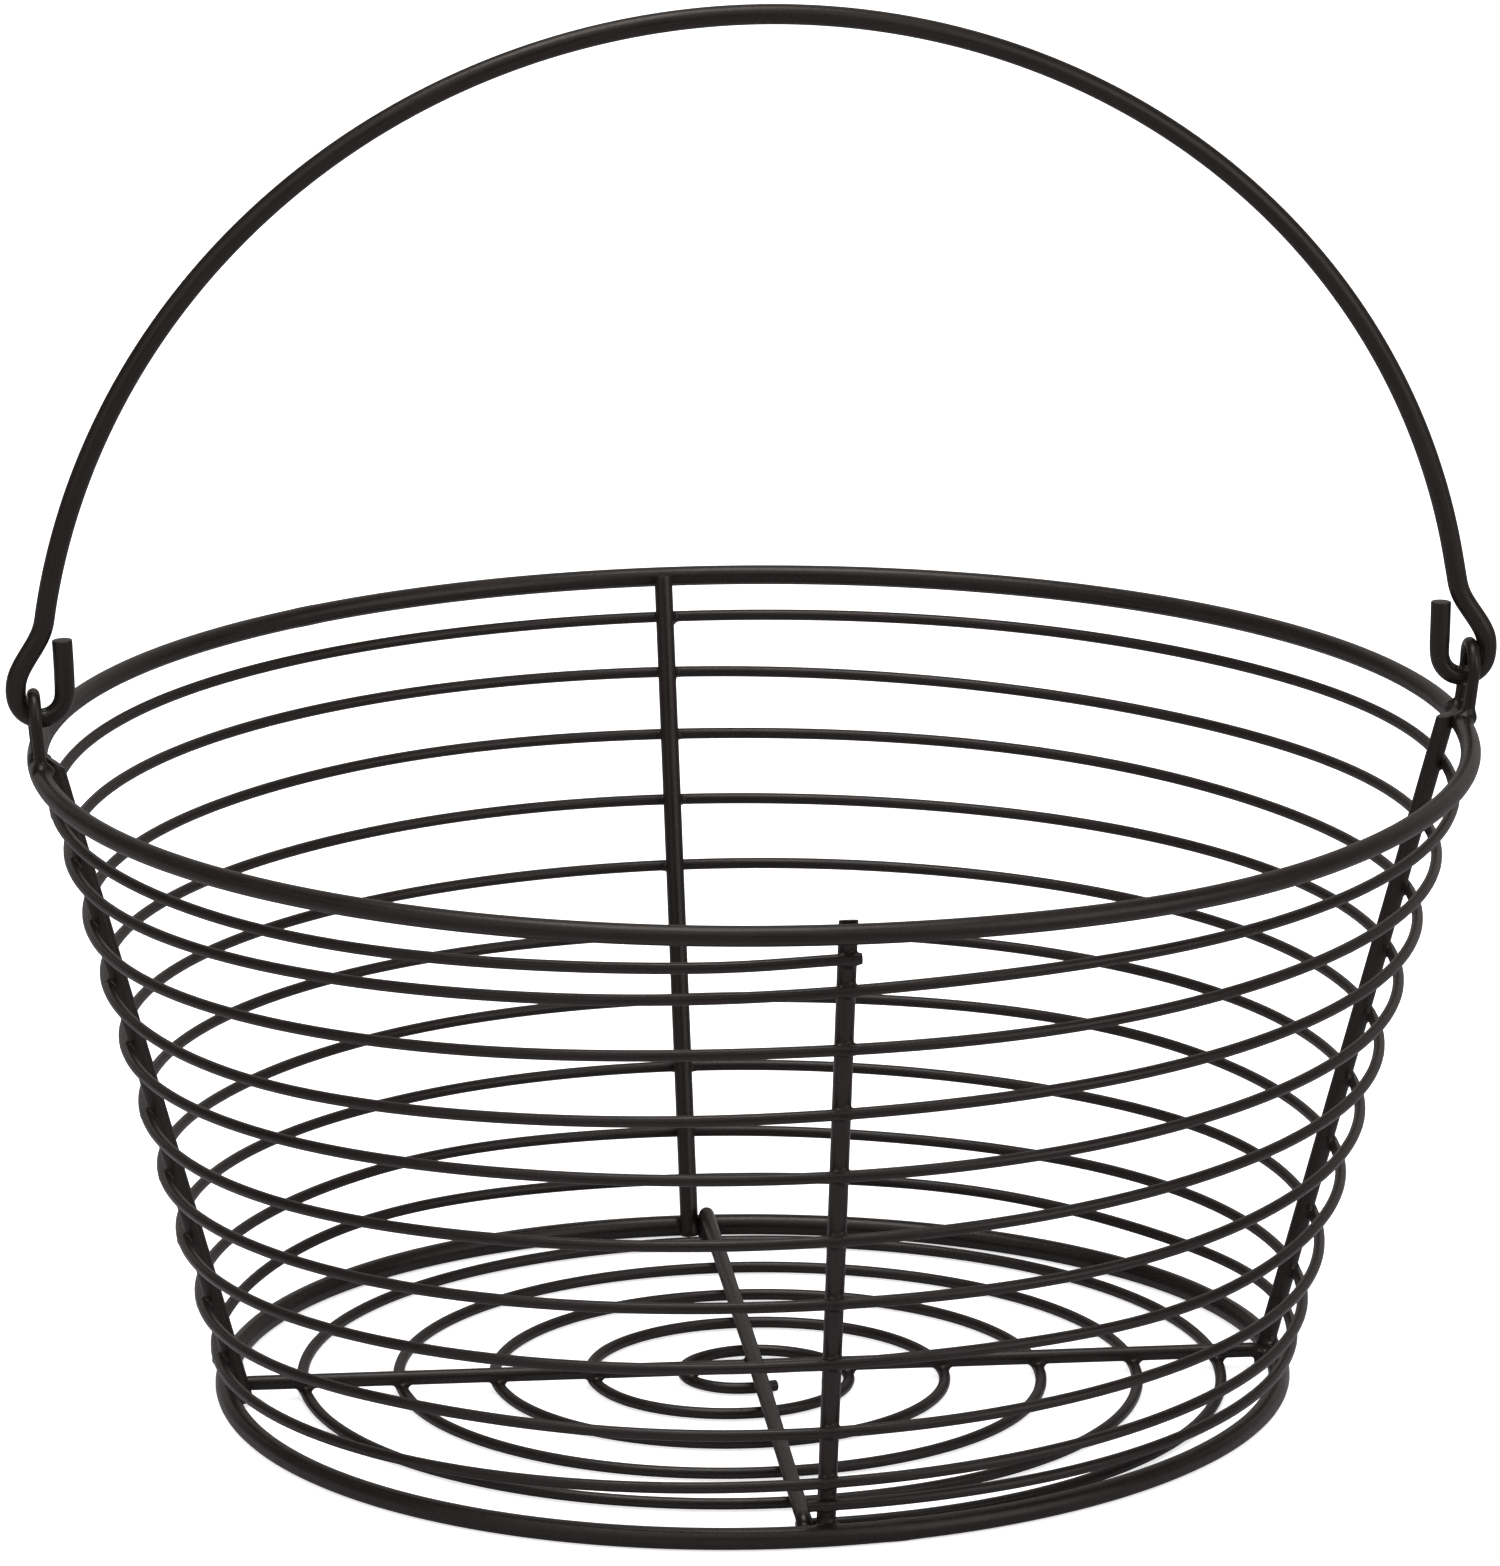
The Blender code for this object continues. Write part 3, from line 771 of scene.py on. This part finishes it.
def floor_welds():
    group = Welds("floor_welds")
    # where the floor coil crosses the left-right bar
    side_of = floor_line[:, :2] @ sideways_at(BAR_TWIST)[:2]
    for i in np.nonzero(side_of[:-1] * side_of[1:] < 0)[0]:
        share = side_of[i] / (side_of[i] - side_of[i + 1])
        spot = floor_line[i] + (floor_line[i + 1] - floor_line[i]) * share
        group.bead(spot + UP * (FLOOR_WIRE * 0.85), FLOOR_COIL, BAR_LR,
                   reach=0.0040, blend=0.0012, cell=0.00032,
                   blob=((0, 0, 0), (0.0014, 0.0014, 0.0010)))
    # where the two bars cross
    group.bead(UP * (BAR_LR_Z + BAR_LR_WIRE * 0.9), BAR_LR, BAR_FB,
               reach=0.0044, blend=0.0015, cell=0.00032)
    # the floor coil is caught once more where it passes the foot of the front upright
    front_line = upright_lines["front"]
    gap = np.linalg.norm(floor_line[:, :2] - front_line[0][:2] - (0, UPRIGHT_WIRE), axis=1)
    group.bead(floor_line[int(gap.argmin())] + np.array([-0.0008, 0, 0]),
               FLOOR_COIL, (front_line, UPRIGHT_WIRE),
               reach=0.0060, blend=0.0020, cell=0.00034, lump=0.00010,
               blob=((-0.0020, -0.0004, 0.0003), (0.0022, 0.0020, 0.0019)))
    return group.make()


def eyelet_welds():
    group = Welds("eyelet_welds")
    inward = 0.0007
    for line in eyelet_lines.values():
        for foot in (0, -1):
            spot = line[foot] + UP * EYELET_FOOT_RISE
            outward = spot[:2] / np.linalg.norm(spot[:2])
            offset = (-outward[0] * inward, -outward[1] * inward, -0.0002)
            group.bead(spot, RIM, (line, EYELET_WIRE),
                       reach=0.0046, blend=0.0018, cell=0.00030, lump=0.00012,
                       blob=(offset, (0.0021, 0.0019, 0.0012)))
    return group.make()


weld_pieces = [side_coil_welds(*setting) for setting in UPRIGHTS]
weld_pieces += [rim_welds(), foot_ring_welds(), floor_welds(), eyelet_welds()]

# --------------------------------------------------------- marks on the wires
# spots where hooks and eyelets are rubbing, each also a painted highlight where a glint shows:
# distance out from the bail's centre, y, z, size
RUB_AND_GLINT_SPOTS = (
    (HOOK_HALF_SPAN, 0, HINGE_Z + 0.0018, 0.0032),
    (EYELET_HALF_SPAN, 0, EYELET_TOP_Z - 0.0010, 0.0026),
    (HOOK_HALF_SPAN + HOOK_RADIUS + 0.002, 0.0005, HINGE_Z + 0.0062, 0.0018),
    (HOOK_HALF_SPAN - HOOK_RADIUS, 0, HOOK_TIP_Z, 0.0016),
)


def mark(obj):
    """Store how near each point is to a weld (heat) and to a rubbed spot, which also carries a
    painted highlight.
    """
    points = np.zeros(len(obj.data.vertices) * 3, np.float32)
    obj.data.vertices.foreach_get("co", points)
    points = points.reshape(-1, 3).astype(float)
    heat = np.zeros(len(points))
    for centre, reach in WELD_SPOTS:
        close = np.abs(points - centre).max(axis=1) < reach * 1.8
        gap = np.linalg.norm(points[close] - centre, axis=1) / (reach * 0.75)
        heat[close] = np.maximum(heat[close], np.exp(-gap ** 2))
    # closeness to the rubbed spots, which get lighter steel: wear, and a painted highlight
    rub_and_glint = np.zeros(len(points))
    for sign in (-1, 1):
        for out, y, z, size in RUB_AND_GLINT_SPOTS:
            centre = np.array([HANDLE_CENTRE_X + sign * out, y, z])
            gap = np.linalg.norm(points - centre, axis=1) / size
            rub_and_glint = np.maximum(rub_and_glint, np.exp(-gap ** 2))
    store(obj, "heat", heat)
    store(obj, "rub_and_glint", rub_and_glint)


# ------------------------------------------------------------------ materials
class Graph:
    """Short-hand for wiring up the emptied node tree of a material or world."""

    def __init__(self, owner):
        owner.use_nodes = True
        self.tree = owner.node_tree
        self.tree.nodes.clear()

    def add(self, kind):
        return self.tree.nodes.new(kind)

    def link(self, source, target):
        self.tree.links.new(source, target)

    def feed(self, socket, value):
        """Link a socket, or set a number or an RGB colour."""
        if isinstance(value, bpy.types.NodeSocket):
            self.link(value, socket)
        else:
            socket.default_value = (*value, 1.0) if isinstance(value, tuple) else value

    def coords(self, kind="Object"):
        return self.add("ShaderNodeTexCoord").outputs[kind]

    def attribute(self, name, output="Fac"):
        node = self.add("ShaderNodeAttribute")
        node.attribute_name = name
        return node.outputs[output]

    def vector_math(self, operation, vector, other=None):
        node = self.add("ShaderNodeVectorMath")
        node.operation = operation
        self.link(vector, node.inputs[0])
        if other:
            node.inputs[1].default_value = other
        return node.outputs

    def noise(self, vector, scale, detail, rough):
        node = self.add("ShaderNodeTexNoise")
        self.link(vector, node.inputs["Vector"])
        node.inputs["Scale"].default_value = scale
        node.inputs["Detail"].default_value = detail
        node.inputs["Roughness"].default_value = rough
        return node.outputs["Fac"]

    def remap(self, value, span, to, smooth=False):
        node = self.add("ShaderNodeMapRange")
        if smooth:
            node.interpolation_type = "SMOOTHSTEP"
        self.link(value, node.inputs["Value"])
        for key, limit in zip(("From Min", "From Max", "To Min", "To Max"), (*span, *to)):
            node.inputs[key].default_value = limit
        return node.outputs["Result"]

    def math(self, operation, first, second, clamp=False):
        node = self.add("ShaderNodeMath")
        node.operation = operation
        node.use_clamp = clamp
        self.feed(node.inputs[0], first)
        self.feed(node.inputs[1], second)
        return node.outputs[0]

    def times(self, first, second):
        return self.math("MULTIPLY", first, second)

    def plus(self, first, second, clamp=False):
        return self.math("ADD", first, second, clamp)

    def mix(self, factor, first, second):
        node = self.add("ShaderNodeMix")
        node.data_type = "RGBA"
        for slot, value in ((0, factor), (6, first), (7, second)):
            self.feed(node.inputs[slot], value)
        return node.outputs[2]


SPECK_COLOUR = (0.045, 0.040, 0.036)
HEATED_COLOUR = (0.0058, 0.0044, 0.0040)
# bare steel where the hooks are rubbing: real wear, lighter in colour, and also a painted
# highlight where a glint shows
WORN_STEEL_AND_GLINT = (0.20, 0.185, 0.165)


def coated_wire(name, colour, tint, roughness, peel=1.0, streak=1.0, heat_dulling=0.10,
                bump_depth=0.00006):
    """Satin black coating over drawn steel wire: faint lengthwise draw lines,
    orange peel, uneven tone, browner and duller at the welds, and bare steel
    where the bail's hooks are rubbing in the eyelets, which is wear and also a painted
    highlight."""
    mat = bpy.data.materials.new(name)
    graph = Graph(mat)
    out = graph.add("ShaderNodeOutputMaterial")
    bsdf = graph.add("ShaderNodeBsdfPrincipled")
    graph.link(bsdf.outputs[0], out.inputs[0])
    coords = graph.coords()
    wire_space = graph.attribute("wire_space", "Vector")
    heat = graph.attribute("heat")
    rub_and_glint = graph.attribute("rub_and_glint")

    def draw_lines(along, across, detail, rough):
        """Noise drawn out along the wire, from its scales along and across."""
        drawn = graph.vector_math("MULTIPLY", wire_space, (along, across, across))[0]
        return graph.noise(drawn, scale=1.0, detail=detail, rough=rough)

    lines = draw_lines(along=45.0, across=2600.0, detail=4.0, rough=0.6)
    fine_lines = draw_lines(along=160.0, across=7000.0, detail=2.0, rough=0.5)
    peel_noise = graph.noise(coords, scale=850.0, detail=2.0, rough=0.5)
    grain = graph.noise(coords, scale=4200.0, detail=2.0, rough=0.6)
    cloud = graph.noise(coords, scale=38.0, detail=3.0, rough=0.6)
    broad = graph.noise(coords, scale=9.0, detail=2.0, rough=0.5)

    # colour: mottled, streaked, specked, browned at the welds, bare steel where rubbed, which
    # is also a painted highlight
    tone = graph.mix(graph.remap(cloud, span=(0.3, 0.7), to=(0.0, 1.0)), colour, tint)
    tone = graph.mix(graph.remap(lines, span=(0.35, 0.72), to=(0.0, 0.55 * streak)), tone,
                     tuple(min(c * 1.7, 1) for c in tint))
    tone = graph.mix(graph.remap(broad, span=(0.3, 0.7), to=(0.0, 0.35)), tone,
                     tuple(c * 0.6 for c in colour))
    specks = graph.remap(grain, span=(0.66, 0.74), to=(0.0, 0.55))
    tone = graph.mix(specks, tone, SPECK_COLOUR)
    heat_edge = graph.times(heat, graph.remap(cloud, span=(0.25, 0.75), to=(0.6, 1.0)))
    tone = graph.mix(graph.times(heat_edge, 0.65), tone, HEATED_COLOUR)
    # the rubbed patches of bare steel: wear, and a painted highlight that stands in for a
    # glint
    wear_and_glint_noise = graph.noise(coords, scale=1500.0, detail=4.0, rough=0.65)
    worn_and_glint = graph.times(rub_and_glint, graph.remap(wear_and_glint_noise, span=(0.42, 0.60), to=(0.15, 1.0)))
    worn_and_glint = graph.remap(worn_and_glint, span=(0.42, 0.62), to=(0.0, 1.0), smooth=True)
    tone = graph.mix(worn_and_glint, tone, WORN_STEEL_AND_GLINT)
    graph.link(tone, bsdf.inputs["Base Color"])

    # roughness: uneven, duller at the welds, polished where rubbed
    rough = graph.remap(cloud, span=(0.25, 0.75), to=(roughness - 0.05, roughness + 0.06))
    rough = graph.plus(rough, graph.remap(lines, span=(0.3, 0.7),
                                          to=(-0.05 * streak, 0.06 * streak)))
    rough = graph.plus(rough, graph.remap(peel_noise, span=(0.3, 0.7), to=(-0.03, 0.04)))
    rough = graph.plus(rough, graph.times(heat_edge, heat_dulling))
    rough = graph.plus(rough, graph.times(rub_and_glint, -0.10), clamp=True)
    graph.link(rough, bsdf.inputs["Roughness"])
    graph.link(graph.times(worn_and_glint, 0.9), bsdf.inputs["Metallic"])
    bsdf.inputs["IOR"].default_value = 1.45
    bsdf.inputs["Specular IOR Level"].default_value = 0.42

    # relief: each layer's share of the bump
    height = graph.times(peel_noise, 0.9 * peel)
    for layer, share in ((lines, 0.65 * streak), (fine_lines, 0.22 * streak), (grain, 0.20)):
        height = graph.plus(height, graph.times(layer, share))
    height = graph.math("SUBTRACT", height, graph.times(worn_and_glint, 0.5))
    bump = graph.add("ShaderNodeBump")
    bump.inputs["Strength"].default_value = 0.75
    bump.inputs["Distance"].default_value = bump_depth
    graph.link(height, bump.inputs["Height"])
    graph.link(bump.outputs[0], bsdf.inputs["Normal"])
    return mat


COATS = {                   # by slot
    "frame_wire": coated_wire("satin_black_frame_coat", colour=(0.0080, 0.0054, 0.0050),
                              tint=(0.0110, 0.0082, 0.0072), roughness=0.30),
    "fill_wire": coated_wire("satin_black_coil_coat", colour=(0.0082, 0.0056, 0.0052),
                             tint=(0.0114, 0.0085, 0.0076), roughness=0.31, streak=0.9),
    "handle_wire": coated_wire("satin_black_handle_coat", colour=(0.0078, 0.0054, 0.0049),
                               tint=(0.0110, 0.0083, 0.0068), roughness=0.30),
}
weld_coat = coated_wire("satin_black_weld_coat", colour=(0.0072, 0.0047, 0.0044),
                        tint=(0.0096, 0.0067, 0.0061), roughness=0.34, peel=1.3, streak=0.0,
                        heat_dulling=0.04, bump_depth=0.00009)

# wire, the CAD piece it replaces, its slot, the body it rides
STANDS_FOR = (
    ("rim_wire", "rim_ring", "frame_wire", "basket"),
    ("foot_ring_wire", "base_ring", "frame_wire", "basket"),
    ("front_upright_wire", "upright_front", "frame_wire", "basket"),
    ("left_upright_wire", "upright_left", "frame_wire", "basket"),
    ("back_upright_wire", "upright_back", "frame_wire", "basket"),
    ("right_upright_wire", "upright_right", "frame_wire", "basket"),
    ("side_coil_wire", "side_spiral_wire", "fill_wire", "basket"),
    ("floor_coil_wire", "base_spiral_wire", "fill_wire", "basket"),
    ("left_right_floor_bar_wire", "floor_bar_left_right", "frame_wire", "basket"),
    ("front_back_floor_bar_wire", "floor_bar_front_back", "frame_wire", "basket"),
    ("left_eyelet_wire", "eyelet_left", "frame_wire", "basket"),
    ("right_eyelet_wire", "eyelet_right", "frame_wire", "basket"),
    ("bail_handle_wire", "bail_handle", "handle_wire", "handle"),
)


def dress(obj, coat, body):
    mark(obj)
    obj.data.materials.append(coat)
    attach(obj, body)


for name, cad_piece, slot, body in STANDS_FOR:
    dress(WIRES[name], COATS[slot], body)
    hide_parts(cad_piece)
for obj in weld_pieces:
    dress(obj, weld_coat, "basket")


# ------------------------------------------------------------ floor and light
def floor_material():
    """Near white; in the coating's reflections a pool of light under the basket
    falls away."""
    mat = bpy.data.materials.new("studio_floor_white")
    graph = Graph(mat)
    out = graph.add("ShaderNodeOutputMaterial")
    matte = graph.add("ShaderNodeBsdfDiffuse")
    coords = graph.coords()
    mottle = graph.noise(coords, scale=3.0, detail=3.0, rough=0.5)
    path = graph.add("ShaderNodeLightPath")
    tone = graph.mix(mottle, (0.90, 0.90, 0.90), (0.94, 0.94, 0.94))
    distance = graph.vector_math("LENGTH", coords)["Value"]
    far = graph.remap(distance, span=(0.14, 0.42), to=(0.0, 1.0), smooth=True)
    reflected = graph.mix(far, (0.44, 0.40, 0.43), (0.25, 0.232, 0.24))
    tone = graph.mix(path.outputs["Is Glossy Ray"], tone, reflected)
    graph.link(tone, matte.inputs["Color"])
    # the camera sees it lifted by a glow
    glow = graph.add("ShaderNodeEmission")
    graph.feed(glow.inputs["Color"], (1, 1, 1))
    graph.link(graph.times(path.outputs["Is Camera Ray"], 0.62), glow.inputs["Strength"])
    both = graph.add("ShaderNodeAddShader")
    graph.link(matte.outputs[0], both.inputs[0])
    graph.link(glow.outputs[0], both.inputs[1])
    graph.link(both.outputs[0], out.inputs[0])
    return mat


def pale_floor():
    half = 30.0
    mesh = bpy.data.meshes.new("studio_floor")
    mesh.from_pydata([(-half, -half, 0), (half, -half, 0), (half, half, 0), (-half, half, 0)],
                     [], [(0, 1, 2, 3)])
    floor = bpy.data.objects.new("studio_floor", mesh)
    floor.location = (0, 0, -0.0001)
    bpy.context.scene.collection.objects.link(floor)
    mesh.materials.append(floor_material())


# In the coating's reflections: bearing from straight behind (+ to the right),
# height, half-angle where each soft panel ends, half-angle of its core, strength.
PANELS = (
    (-85, 83, 25, 9, 3.1),      # the big overhead bank
    (180, 66, 44, 17, 0.64),    # a second bank, over the camera
    (133, 20, 36, 10, 1.15),    # key panel, front right
    (-130, 32, 40, 12, 0.42),   # fill panel, front left
    (22, 14, 62, 24, 0.26),     # the sweep behind
    (8, 46, 20, 6, 0.25),       # a small panel, high behind
)
ROOM_STRENGTH = 0.07        # between the panels
EVEN_STRENGTH = 1.22        # for all but reflections


def studio_world():
    """Even white for the floor and the backdrop; in the coating's reflections a
    dim room with a few soft panels."""
    world = bpy.data.worlds.new("studio_world")
    bpy.context.scene.world = world
    graph = Graph(world)
    out = graph.add("ShaderNodeOutputWorld")
    background = graph.add("ShaderNodeBackground")
    graph.link(background.outputs[0], out.inputs[0])
    direction = graph.coords("Generated")
    total = ROOM_STRENGTH
    for *angles, strength in PANELS:
        bearing, height, edge, core = (math.radians(angle) for angle in angles)
        toward = (math.sin(bearing) * math.cos(height), math.cos(bearing) * math.cos(height),
                  math.sin(height))
        facing = graph.vector_math("DOT_PRODUCT", direction, toward)["Value"]
        panel = graph.remap(facing, span=(math.cos(edge), math.cos(core)),
                            to=(0.0, strength), smooth=True)
        total = graph.plus(panel, total)
    glossy = graph.add("ShaderNodeLightPath").outputs["Is Glossy Ray"]
    strength = graph.plus(graph.times(glossy, total),
                          graph.times(graph.math("SUBTRACT", 1.0, glossy), EVEN_STRENGTH))
    warm = graph.mix(glossy, (1.0, 1.0, 1.0), (1.0, 0.955, 0.92))
    graph.link(warm, background.inputs["Color"])
    graph.link(strength, background.inputs["Strength"])


LIGHT_TARGET = Vector((0, 0, 0.12))


def softbox(name, location, size, power, colour=(1, 1, 1)):
    data = bpy.data.lights.new(name, "AREA")
    data.shape = "RECTANGLE"
    data.size, data.size_y = size
    data.energy = power
    data.color = colour
    obj = bpy.data.objects.new(name, data)
    obj.location = location
    aim = (LIGHT_TARGET - Vector(location)).normalized()
    obj.rotation_euler = aim.to_track_quat("-Z", "Y").to_euler()
    bpy.context.scene.collection.objects.link(obj)


CAMERA_PLACE = (-0.366895, -2.793523, 0.885867)
CAMERA_LENS = 282.575402    # millimetres, on a 36 mm sensor
CAMERA_YAW = -0.13059       # radians, left of +Y
CAMERA_PITCH = -0.25587     # radians, above level
CAMERA_ROLL = -0.00471


def camera():
    data = bpy.data.cameras.new("photo_view")
    data.sensor_width = 36.0
    data.sensor_fit = "AUTO"
    data.lens = CAMERA_LENS
    data.clip_start, data.clip_end = 0.1, 100.0
    obj = bpy.data.objects.new("photo_view", data)
    bpy.context.scene.collection.objects.link(obj)
    cos_yaw, sin_yaw = math.cos(CAMERA_YAW), math.sin(CAMERA_YAW)
    cos_pitch, sin_pitch = math.cos(CAMERA_PITCH), math.sin(CAMERA_PITCH)
    cos_roll, sin_roll = math.cos(CAMERA_ROLL), math.sin(CAMERA_ROLL)
    forward = Vector((-sin_yaw * cos_pitch, cos_yaw * cos_pitch, sin_pitch))
    right = Vector((cos_yaw, sin_yaw, 0))
    up = right.cross(forward)
    rolled_right = right * cos_roll + up * sin_roll
    rolled_up = -right * sin_roll + up * cos_roll
    turn = Matrix((rolled_right, rolled_up, -forward)).transposed().to_4x4()
    obj.matrix_world = Matrix.Translation(CAMERA_PLACE) @ turn
    bpy.context.scene.camera = obj


pale_floor()
studio_world()
softbox("softbox_overhead", location=(-0.15, -0.10, 2.1), size=(1.2, 1.2), power=4.0,
        colour=(1.0, 0.955, 0.90))
softbox("softbox_front_right", location=(1.40, -1.42, 0.82), size=(0.8, 0.9), power=1.1)
softbox("softbox_front_left", location=(-1.45, -1.30, 1.05), size=(0.7, 0.9), power=0.4)
camera()

view = bpy.context.scene.view_settings
view.view_transform = "Standard"
view.look = "None"
